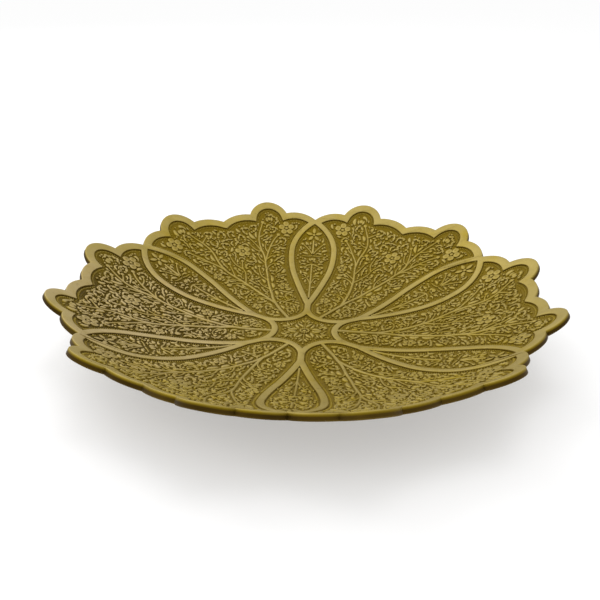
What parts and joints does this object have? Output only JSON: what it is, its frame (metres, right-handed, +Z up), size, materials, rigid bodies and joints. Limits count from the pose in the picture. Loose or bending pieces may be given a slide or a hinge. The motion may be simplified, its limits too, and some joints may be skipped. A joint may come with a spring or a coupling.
{
  "type": "footed scalloped dish",
  "caption": "Shallow round cast brass tray with a scalloped edge, plain straps around sunk leaf and petal panels, on a low soldered foot ring.",
  "frame": {"origin": "centre of the foot ring's resting plane", "axes": "+Z up through the middle of the dish; +Y through the middle of a leaf panel, so the next leaf panels are every 60 degrees from it and a petal's middle points along +X"},
  "size_m": [0.3002, 0.3002, 0.0481],
  "materials": {
    "cast_brass": "satin antique patina, dark in the recesses",
    "turned_brass": "fine turned satin",
    "solder": "smooth, slightly paler than the brass"
  },
  "bodies": {
    "root": {"dish": "cast_brass", "foot_ring": "turned_brass", "outer_solder_fillet": "solder", "inner_solder_fillet": "solder"}
  },
  "joints": []
}
